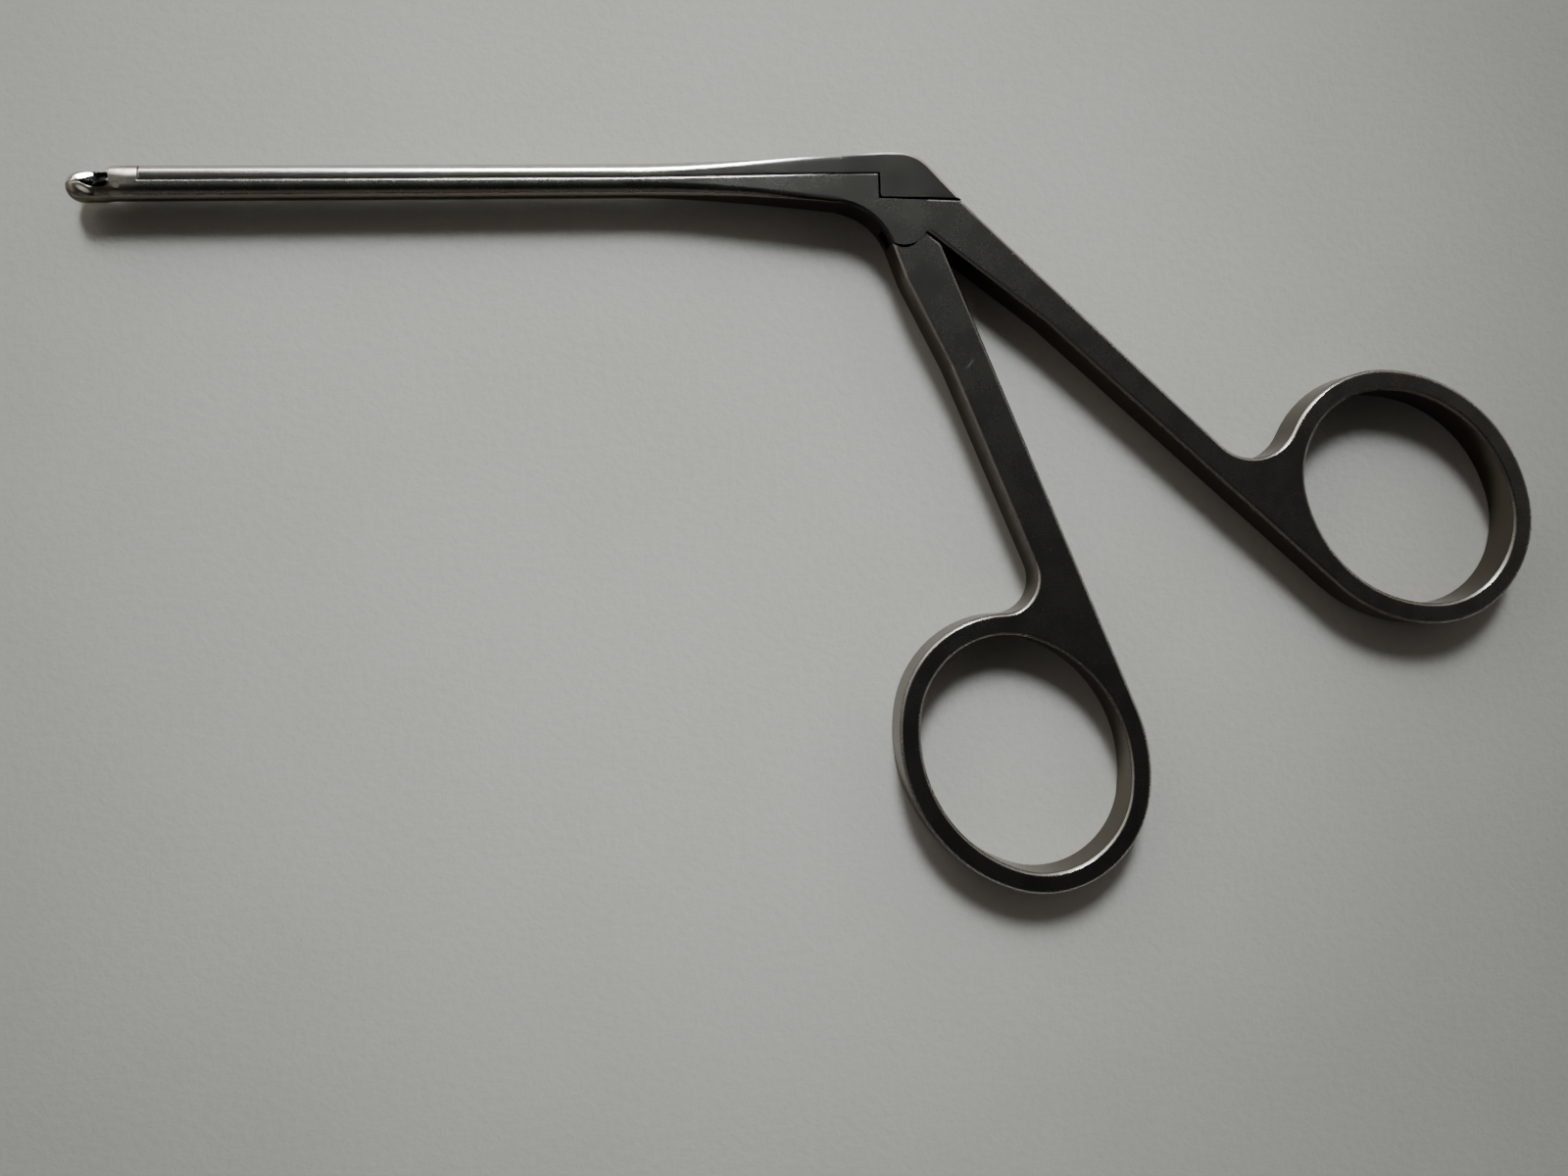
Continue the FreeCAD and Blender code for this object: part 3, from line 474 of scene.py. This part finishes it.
@dataclass(frozen=True)
class Hairlines:
    """Sparse hairline scratches that run one way all over a surface."""

    turn: float
    along: float
    across: float
    least: float
    sharpness: float = 0.08

    def mask(self, graph: Graph, place: Signal, grain: Grain) -> Signal:
        """Mark the hairlines.

        Args:
            graph: the material's nodes.
            place: the place on the part.
            grain: the grain that they are turned from.

        Returns:
            1 in a hairline and 0 elsewhere.
        """
        spread = graph.stretched(place, grain.value + self.turn, self.along, self.across)
        return graph.noise(spread, 1.0, 1.0).between(self.least, self.least + self.sharpness)


@dataclass(frozen=True)
class Facet:
    """A polished spot that faces its own way, alike on both sides of the forceps.

    The way gives how far it faces back along the shaft, across it and up.
    """

    area: Oval
    way: Point
    share: float = 1.0

    def turned(self, graph: Graph, place: Signal, facing: Signal, side: Signal) -> Signal:
        """Turn the surface inside the spot.

        Args:
            graph: the material's nodes.
            place: the place on the part.
            facing: the direction that the surface faces.
            side: 1 on the upper side and -1 on the far side.

        Returns:
            The direction with the spot in it.
        """
        back, across, up = self.way
        aim = graph.signal("ShaderNodeCombineXYZ", None, {"X": back, "Y": across, "Z": side * up})
        return graph.lean(self.area.mask(graph, place) * self.share, facing, aim)


@dataclass(frozen=True)
class Levelling:
    """A run along the shaft where rounded faces turn flat, and round again as far past it.

    Its start and end are in millimetres from the handle's pivot, back along the shaft.
    """

    start: float
    end: float
    share: float

    def turned(self, graph: Graph, place: Signal, facing: Signal, upright: Signal,
               side: Signal) -> Signal:
        """Turn the surface level along the run.

        Args:
            graph: the material's nodes.
            place: the place on the part.
            facing: the direction that the surface faces.
            upright: how much of its true direction points up.
            side: 1 on the upper side and -1 on the far side.

        Returns:
            The direction with the run in it.
        """
        level = graph.signal("ShaderNodeCombineXYZ", None, {"Z": side})
        run = graph.along(place, ORIGIN, 0.0)
        start, end, last = (beside(back)[0] for back in
                            (self.start, self.end, 2 * self.end - self.start))
        rise, fall = run.between(start, end), run.between(last, end)
        return graph.lean(rise * fall * upright.size().between(0.1, 0.5) * self.share,
                          facing, level)


Mark = Union[Oval, Seam]


@dataclass(frozen=True)
class SteelFinish:
    """Stainless steel with ground flats and upright sides darkened with painted shade."""

    name: str
    colour: Colour = (0.40, 0.395, 0.365)
    stain: Colour = (0.29, 0.265, 0.225)
    stain_range: tuple[float, float] = (0.56, 0.72)
    stain_share: float = 0.25
    # Painted shade: the colour of the upright sides, darker because the sides reflect the
    # shadowed paper.
    side: Colour = (0.13, 0.108, 0.085)
    painted_shade_colour: Colour = (0.03, 0.028, 0.025)
    shade_share: float = 0.8
    roughness: float = 0.27
    side_roughness: float = 0.24
    patches: float = 0.04
    patch_scale: float = 230.0
    speckle: float = 0.015
    speckle_scale: float = 5200.0
    speckle_height: float = 0.2
    grain: Grain = Grain.SHAFT
    grain_height: float = 0.0010 * MM
    grain_along: float = 500.0
    grain_across: float = 7000.0
    hairlines: tuple[Hairlines, ...] = (
        Hairlines(turn=24.0, along=260.0, across=6500.0, least=0.70),
        Hairlines(turn=-51.0, along=330.0, across=7500.0, least=0.72))
    hairline_shine: float = 0.02
    edge_radius: float = 0.24 * MM
    # Painted shade in narrow corners: how strong it is, and how far the corners are sought.
    crevice_shade_strength: float = 0.8
    crevice_reach: float = 0.4 * MM
    arm_start: Optional[Point] = None
    arm_grain: Grain = Grain.REAR_ARM
    flush: tuple[Oval, ...] = ()
    # Dark marks: seam lines and the crescent where parts meet, and painted shade in the jaw's
    # opening and neck.
    gaps_and_shade: tuple[Mark, ...] = ()
    facets: tuple[Facet, ...] = ()
    shades: tuple[Oval, ...] = ()
    scratches: tuple[Scratch, ...] = ()
    levelling: Optional[Levelling] = None
    tip_start: Optional[float] = None
    tip_blend: float = 3.0 * MM
    tip_colour: Colour = (0.58, 0.55, 0.48)
    tip_roughness: float = 0.30
    brown_scale: float = 1300.0
    brown_range: tuple[float, float] = (0.40, 0.58)
    brown_share: float = 0.9
    brown_roughness: float = 0.10

    def grain_lines(self, graph: Graph, place: Signal, grain: Grain) -> Signal:
        """Lay fine lines along one grain.

        Args:
            graph: the material's nodes.
            place: the place on the part.
            grain: which way they run.

        Returns:
            The height of the lines, from 0 to 1.
        """
        return graph.noise(
            graph.stretched(place, grain.value, self.grain_along, self.grain_across), 1.0)

    def rubbing(self, graph: Graph, place: Signal) -> Signal:
        """Lay fine lines along the grain, turned where an arm starts.

        Args:
            graph: the material's nodes.
            place: the place on the part.

        Returns:
            The height of the lines, from 0 to 1.
        """
        lines = self.grain_lines(graph, place, self.grain)
        if self.arm_start is None:
            return lines
        arm_lines = self.grain_lines(graph, place, self.arm_grain)
        on_arm = graph.along(place, self.arm_start, self.arm_grain.value).between(0.0, 3 * MM)
        return lines + (arm_lines - lines) * on_arm

    def gather(self, graph: Graph, place: Signal, marks: Iterable[Mark]) -> Optional[Signal]:
        """Join the masks of several marks.

        Args:
            graph: the material's nodes.
            place: the place on the part.
            marks: the marks.

        Returns:
            The greatest of their masks, or nothing where there are no marks.
        """
        total = None
        for mark in marks:
            mask = mark.mask(graph, place)
            total = mask if total is None else total.step("MAXIMUM", total, mask)
        return total

    def facing(self, graph: Graph, place: Signal, quiet: Optional[Signal]) -> Signal:
        """Soften the edges, and turn the faces where the finish asks for it.

        Args:
            graph: the material's nodes.
            place: the place on the part.
            quiet: where the edges are ground flush and stay as they are.

        Returns:
            The direction that the surface seems to face.
        """
        plain = graph.signal("ShaderNodeNewGeometry", output="Normal")
        facing = graph.signal("ShaderNodeBevel", {"samples": 8}, {"Radius": self.edge_radius})
        if quiet is not None:
            facing = graph.lean(quiet, facing, plain)
        upright = graph.share_of(plain, UP)
        side = upright.step("SIGN", upright)
        if self.levelling is not None:
            facing = self.levelling.turned(graph, place, facing, upright, side)
        for facet in self.facets:
            facing = facet.turned(graph, place, facing, side)
        return facing

    def crevice_shading(self, graph: Graph, quiet: Optional[Signal]) -> Signal:
        """Find the narrow corners, where shade is painted into the colour.

        Args:
            graph: the material's nodes.
            quiet: where the parts are ground flush and have no such corner.

        Returns:
            The share of painted shade.
        """
        open_share = graph.signal("ShaderNodeAmbientOcclusion", {"samples": 6},
                                  {"Distance": self.crevice_reach}, "AO")
        depth = open_share.between(CREVICE_BEGINS, CREVICE_WHOLE) * self.crevice_shade_strength
        return depth if quiet is None else depth * (1.0 - quiet)

    def tipped(self, graph: Graph, place: Signal, facing: Signal, on_side: Signal,
               colour: Signal, rough: Signal) -> tuple[Signal, Signal]:
        """Make the metal at the tip lighter and mottled; sides facing the finger ring keep their
        painted shade.

        Args:
            graph: the material's nodes.
            place: the place on the part.
            facing: the direction that the surface faces.
            on_side: how much of a side the surface is.
            colour: the colour without the tip.
            rough: the roughness without the tip.

        Returns:
            The colour and the roughness with the tip.
        """
        tip = graph.along(place, (self.tip_start, 0.0, 0.0), 180.0).between(0.0, self.tip_blend)
        # Painted shade: at the tip, sides facing the finger ring keep the darker side colour.
        shaded_towards_finger = graph.share_of(facing, ACROSS).between(0.25, 0.0)
        brown = graph.noise(place, self.brown_scale, 2.0, 0.5).between(*self.brown_range)
        mottled = graph.blend(brown * self.brown_share, opaque(self.tip_colour),
                              opaque(self.stain))
        return (graph.blend(tip * (1.0 - on_side * shaded_towards_finger), colour, mottled),
                rough + (self.tip_roughness + brown * self.brown_roughness - rough) * tip)

    def marked(self, graph: Graph, place: Signal, colour: Signal) -> Signal:
        """Paint shade on the shaded spots, and darken the marks: seam lines and the crescent
        where parts meet, and painted shade in the jaw's opening and neck.

        Args:
            graph: the material's nodes.
            place: the place on the part.
            colour: the colour without them.

        Returns:
            The colour with them.
        """
        for shade in self.shades:
            share = shade.mask(graph, place) * self.shade_share
            colour = graph.blend(share, colour, opaque(self.painted_shade_colour))
        # Seam lines are dark joints; the jaw's ovals are painted shade.
        gap_and_shade_mask = self.gather(graph, place, self.gaps_and_shade)
        return colour if gap_and_shade_mask is None else graph.blend(gap_and_shade_mask, colour, opaque(GAP_AND_SHADE_BLACK))

    def material(self) -> bpy.types.Material:
        """Build the material.

        Returns:
            The material.
        """
        material = bpy.data.materials.new(self.name)
        graph = Graph(material)
        place = graph.place()
        quiet = self.gather(graph, place, self.flush)
        facing = self.facing(graph, place, quiet)
        on_side = graph.share_of(facing, UP).size().between(SIDE_BEGINS, SIDE_WHOLE)
        patch = graph.noise(place, self.patch_scale, 3.0, 0.6)
        speck = graph.noise(place, self.speckle_scale, 2.0, 0.6)
        lines = self.rubbing(graph, place)
        rough = (self.roughness + on_side * (self.side_roughness - self.roughness)
                 + (patch - 0.5) * (2 * self.patches) + (speck - 0.5) * (2 * self.speckle)
                 + (lines - 0.5) * self.speckle)
        for hairlines in self.hairlines:
            rough = rough - hairlines.mask(graph, place, self.grain) * self.hairline_shine
        dirt = patch.between(*self.stain_range) * self.stain_share
        for scratch in self.scratches:
            mark = scratch.mask(graph, place)
            rough = rough + mark * scratch.roughness
            dirt = dirt - mark * scratch.cleaning
        colour = graph.blend(dirt.between(0.0, 1.0), opaque(self.colour), opaque(self.stain))
        # Painted shade: the upright sides take the darker side colour.
        colour = graph.blend(on_side, colour, opaque(self.side))
        # Painted shade: narrow corners darkened towards near black.
        colour = graph.blend(self.crevice_shading(graph, quiet), colour, opaque(self.painted_shade_colour))
        if self.tip_start is not None:
            colour, rough = self.tipped(graph, place, facing, on_side, colour, rough)
        colour = self.marked(graph, place, colour)
        bump = graph.signal("ShaderNodeBump", None,
                            {"Strength": 1.0, "Distance": self.grain_height,
                             "Height": lines + speck * self.speckle_height,
                             "Normal": facing})
        graph.finish(Base_Color=colour, Metallic=1.0, Roughness=rough, Normal=bump)
        return material


@dataclass(frozen=True)
class PaperFinish:
    """Pale matt paper with a fine tooth, its colour darkened away from the forceps as a painted
    falloff of the light.
    """

    name: str = "pale_paper"
    colour: Colour = (0.68, 0.68, 0.65)
    shade: Colour = (0.63, 0.63, 0.595)
    cloud_scale: float = 45.0
    fibre_scale: float = 1100.0
    tooth: float = 0.09 * MM
    roughness: float = 0.85
    gloss: float = 0.2
    # Painted light: the paper's colour darkens away from this middle, standing in for the falloff
    # of the light pool.
    middle: tuple[float, float] = (-16.8, -11.1)
    painted_falloff_from: float = 25 * MM
    painted_falloff_to: float = 120 * MM
    dim: float = 0.38

    def material(self) -> bpy.types.Material:
        """Build the material.

        Returns:
            The material.
        """
        material = bpy.data.materials.new(self.name)
        graph = Graph(material)
        place = graph.place()
        cloud = graph.noise(place, self.cloud_scale, 4.0, 0.6)
        fibre = graph.noise(place, self.fibre_scale, 3.0, 0.65)
        tint = cloud.between(0.35, 0.7) * 0.5 + fibre.between(0.3, 0.7) * 0.5
        colour = graph.blend(tint, opaque(self.colour), opaque(self.shade))
        # Painted light: darker towards the edges, as the falloff of the light pool.
        away = graph.vector("DISTANCE", place, beside(*self.middle), "Value")
        colour = graph.blend(away.between(self.painted_falloff_from, self.painted_falloff_to) * self.dim, colour,
                             opaque(BLACK))
        bump = graph.signal("ShaderNodeBump", None,
                            {"Strength": 1.0, "Distance": self.tooth, "Height": fibre})
        graph.finish(Base_Color=colour, Roughness=self.roughness,
                     Specular_IOR_Level=self.gloss, Normal=bump)
        return material


def dress(nodes: Iterable[Node], finish: SteelFinish) -> None:
    """Give solids that belong together one finish.

    Args:
        nodes: the solids.
        finish: what their surface is like.
    """
    material = finish.material()
    for node in nodes:
        for slot in frame["nodes"][node.value].material_slots:
            slot.material = material
        log.info("%s: %s", node.value, finish.name)


def heel_seams() -> tuple[Seam, ...]:
    """Mark the seams round the step of the slider's heel."""
    foot = beside(-2.25, 2.0)
    return (Seam(foot, turn=-1.5, length=8.3 * MM), Seam(foot, turn=90.0, length=2.34 * MM),
            Seam(beside(-12.25, 4.36), turn=0.0, length=10.0 * MM, width=0.11 * MM))


def jaw_painted_shade() -> tuple[Oval, ...]:
    """Mark painted shade in the opening between the closed jaws, on the knuckle behind it and on
    the recessed neck.
    """
    return (Oval.at(-74.6, 4.08, 1.45, 0.5, turn=-3.0, soft=0.35),
            Oval.at(-74.0, 4.8, 0.62, 0.66, soft=0.5),
            Oval.at(-74.45, 4.5, 0.9, 0.85, soft=0.3, depth=1.1))


def flush_joints() -> tuple[Oval, ...]:
    """Mark the areas round the pins, which are ground flush with the faces."""
    return (Oval.at(0.0, 0.0, 3.3, 3.3), Oval.at(0.0, 3.6, 1.2, 1.2),
            Oval.at(0.0, 0.2, 1.3, 1.3, joint=JAW_PIVOT))


@dataclass
class FixedShaft:
    """The lower half of the shaft, the body, the rear arm and its ring."""

    tip_length: float = 7.5 * MM
    levelling: Levelling = Levelling(start=-16.0, end=-5.9, share=0.8)

    def dress(self) -> None:
        """Satin on the flats, lighter and mottled at the jaw."""
        low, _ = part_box(Node.FIXED_SHAFT.value)
        cheek = Facet(Oval.at(-71.5, 5.0, 2.3, 0.55, soft=0.8), (0.22, 0.29, 0.93), share=0.5)
        streak = Facet(Oval.at(-75.6, 3.42, 1.05, 0.36, turn=-28.0, soft=0.8),
                       (0.22, 0.26, 0.94), share=0.7)
        # Painted shade: the left rim of the lower jaw darkened towards near black.
        painted_rim_shade = Oval.at(-77.5, 3.3, 0.85, 1.5, soft=0.8)
        dress((Node.FIXED_SHAFT, Node.HANDLE_RIVET, Node.JAW_RIVET), SteelFinish(
            "satin_body_steel", flush=flush_joints(), tip_start=low.x + self.tip_length,
            arm_start=beside(5.0, -1.0), levelling=self.levelling,
            gaps_and_shade=(*jaw_painted_shade(), *heel_seams()), facets=(cheek, streak), shades=(painted_rim_shade,)))


@dataclass
class SlidingShaft:
    """The upper half of the shaft with its heel."""

    colour: Colour = (0.79, 0.78, 0.73)
    roughness: float = 0.205
    levelling: Levelling = Levelling(start=-20.0, end=-5.9, share=0.85)

    def dress(self) -> None:
        """A brighter satin, rubbed along the shaft."""
        dress((Node.SLIDING_SHAFT, Node.HEEL_PIN, Node.JAW_DRIVE_PIN), SteelFinish(
            "satin_slider_steel", roughness=self.roughness, colour=self.colour,
            flush=flush_joints(), levelling=self.levelling, gaps_and_shade=heel_seams()))


@dataclass
class FingerHandle:
    """The front lever with its ring."""

    scratch_from: tuple[float, float] = (5.5, -15.1)
    scratch_turn: float = 49.0
    scratch_length: float = 1.62 * MM

    def dress(self) -> None:
        """Satin rubbed along the arm, with a scratch and a dark crescent near the joint."""
        scratch = Scratch(beside(*self.scratch_from), self.scratch_turn, self.scratch_length)
        crescent = Oval.at(0.0, -1.16, 1.78, 1.78, soft=0.03)
        dress((Node.FINGER_HANDLE,), SteelFinish(
            "satin_handle_steel", grain=Grain.FRONT_ARM, scratches=(scratch,),
            flush=flush_joints(), gaps_and_shade=(crescent,)))


@dataclass
class UpperJaw:
    """The hinged upper cup."""

    colour: Colour = (0.74, 0.735, 0.70)
    # Painted shade: the darker colour of the jaw's upright sides.
    side: Colour = (0.40, 0.385, 0.35)
    roughness: float = 0.16
    side_roughness: float = 0.14

    def dress(self) -> None:
        """Polished all over, with painted shade at the neck and in the mouth."""
        crown = Facet(Oval.at(-75.5, 4.78, 1.1, 0.42, turn=8.0, soft=0.5), (0.23, 0.30, 0.926))
        dress((Node.UPPER_JAW,), SteelFinish(
            "polished_jaw_steel", colour=self.colour, side=self.side,
            roughness=self.roughness, side_roughness=self.side_roughness, patches=0.03,
            grain_height=0.0004 * MM, edge_radius=0.15 * MM, gaps_and_shade=jaw_painted_shade(), facets=(crown,)))


@dataclass
class Floor:
    """The sheet of paper that the forceps lie on."""

    half_size: float = 1.5

    def build(self) -> bpy.types.Object:
        """Make the floor.

        Returns:
            The floor.
        """
        reach = self.half_size
        corners = [(-reach, -reach, 0), (reach, -reach, 0), (reach, reach, 0), (-reach, reach, 0)]
        mesh = bpy.data.meshes.new("paper_floor")
        mesh.from_pydata(corners, [], [(0, 1, 2, 3)])
        floor = bpy.data.objects.new("paper_floor", mesh)
        bpy.context.scene.collection.objects.link(floor)
        mesh.materials.append(PaperFinish().material())
        log.info("paper_floor: stage")
        return floor


@dataclass
class SoftLight:
    """One soft light panel that looks at a place on the part."""

    name: str
    place: Point
    size: tuple[float, float]
    power: float
    colour: Colour = (1.0, 1.0, 1.0)
    aim: Point = ORIGIN
    spread: float = 180.0

    def build(self) -> bpy.types.Object:
        """Make the light.

        Returns:
            The light.
        """
        data = bpy.data.lights.new(self.name, "AREA")
        data.shape = "RECTANGLE"
        data.size, data.size_y = self.size
        data.energy = self.power
        data.color = self.colour
        data.spread = math.radians(self.spread)
        light = bpy.data.objects.new(self.name, data)
        bpy.context.scene.collection.objects.link(light)
        light.location = self.place
        way = Vector(self.aim) - Vector(self.place)
        light.rotation_euler = way.to_track_quat("-Z", "Y").to_euler()
        return light


@dataclass
class Studio:
    """The light of the room and the lights on stands."""

    stops: tuple[tuple[float, Colour], ...] = (
        (0.0, (0.08, 0.074, 0.068)), (0.20, (0.22, 0.203, 0.185)), (0.38, (1.60, 1.48, 1.35)),
        (0.55, (0.66, 0.61, 0.56)), (0.69, (0.011, 0.011, 0.010)))
    dark_side: float = 0.10
    dark_towards: float = -0.45
    bright_towards: float = 0.55
    lights: list[SoftLight] = field(default_factory=lambda: [
        SoftLight("window", place=(-0.05, 0.70, 0.53), size=(0.26, 0.36), power=0.295,
                  colour=(0.96, 1.0, 0.99), aim=(-0.016, 0.036, 0.0), spread=21.0),
        SoftLight("low_window", place=(-0.42, 0.78, 0.32), size=(0.50, 0.14), power=0.9,
                  colour=(1.0, 0.97, 0.93)),
    ])

    def build(self) -> None:
        """Set the dim room, lighter towards the window, and the lights."""
        world = bpy.data.worlds.new("dim_room")
        bpy.context.scene.world = world
        graph = Graph(world)
        way = graph.node("ShaderNodeSeparateXYZ", None,
                         {0: graph.signal("ShaderNodeTexCoord", output="Generated")})
        across, up = (Signal(graph, way.outputs[axis]) for axis in ("Y", "Z"))
        ramp = graph.node("ShaderNodeValToRGB", None, {0: up})
        # The ramp keeps its own black stop at the bottom, for what lies below the floor's edge.
        elements = ramp.color_ramp.elements
        elements.remove(elements[1])
        for height, colour in self.stops:
            elements.new(height).color = opaque(colour)
        share = graph.signal("ShaderNodeMapRange", None, {
            "Value": across, "From Min": self.dark_towards, "From Max": self.bright_towards,
            "To Min": self.dark_side})
        background = graph.signal("ShaderNodeBackground", None, {
            "Color": Signal(graph, ramp.outputs[0]), "Strength": share})
        graph.node("ShaderNodeOutputWorld", None, {"Surface": background})
        for light in self.lights:
            light.build()
        log.info("studio: %d lights", len(self.lights))


@dataclass
class ViewCamera:
    """The camera of the photograph, over the left of the joint."""

    focal_px: float = 1202.0
    image_width_px: float = 1600.0
    sensor: float = 36.0
    offset: Point = (-27.603 * MM, -35.017 * MM, 117.05 * MM)
    right: Point = (0.99118, -0.04709, 0.12383)
    back: Point = (-0.12369, 0.00588, 0.99230)

    def build(self) -> bpy.types.Object:
        """Make the camera and use it.

        Returns:
            The camera.
        """
        data = bpy.data.cameras.new("view_camera")
        data.sensor_fit = "HORIZONTAL"
        data.sensor_width = self.sensor
        data.lens = self.focal_px / self.image_width_px * self.sensor
        data.clip_start = 0.001
        camera = bpy.data.objects.new("view_camera", data)
        bpy.context.scene.collection.objects.link(camera)
        back = Vector(self.back).normalized()
        right = (Vector(self.right) - Vector(self.right).dot(back) * back).normalized()
        axes = Matrix((right, back.cross(right), back)).transposed().to_4x4()
        pivot = pivot_of(HANDLE_PIVOT)
        place = Vector((pivot.x, pivot.y, 0.0)) + Vector(self.offset)
        camera.matrix_world = Matrix.Translation(place) @ axes
        bpy.context.scene.camera = camera
        return camera


def main() -> None:
    """Dress the part and set the stage."""
    logging.basicConfig(level=logging.INFO, format="%(name)s %(message)s")
    for piece in (FixedShaft(), SlidingShaft(), FingerHandle(), UpperJaw()):
        piece.dress()
    Floor().build()
    Studio().build()
    ViewCamera().build()


if __name__ == "__main__":
    main()
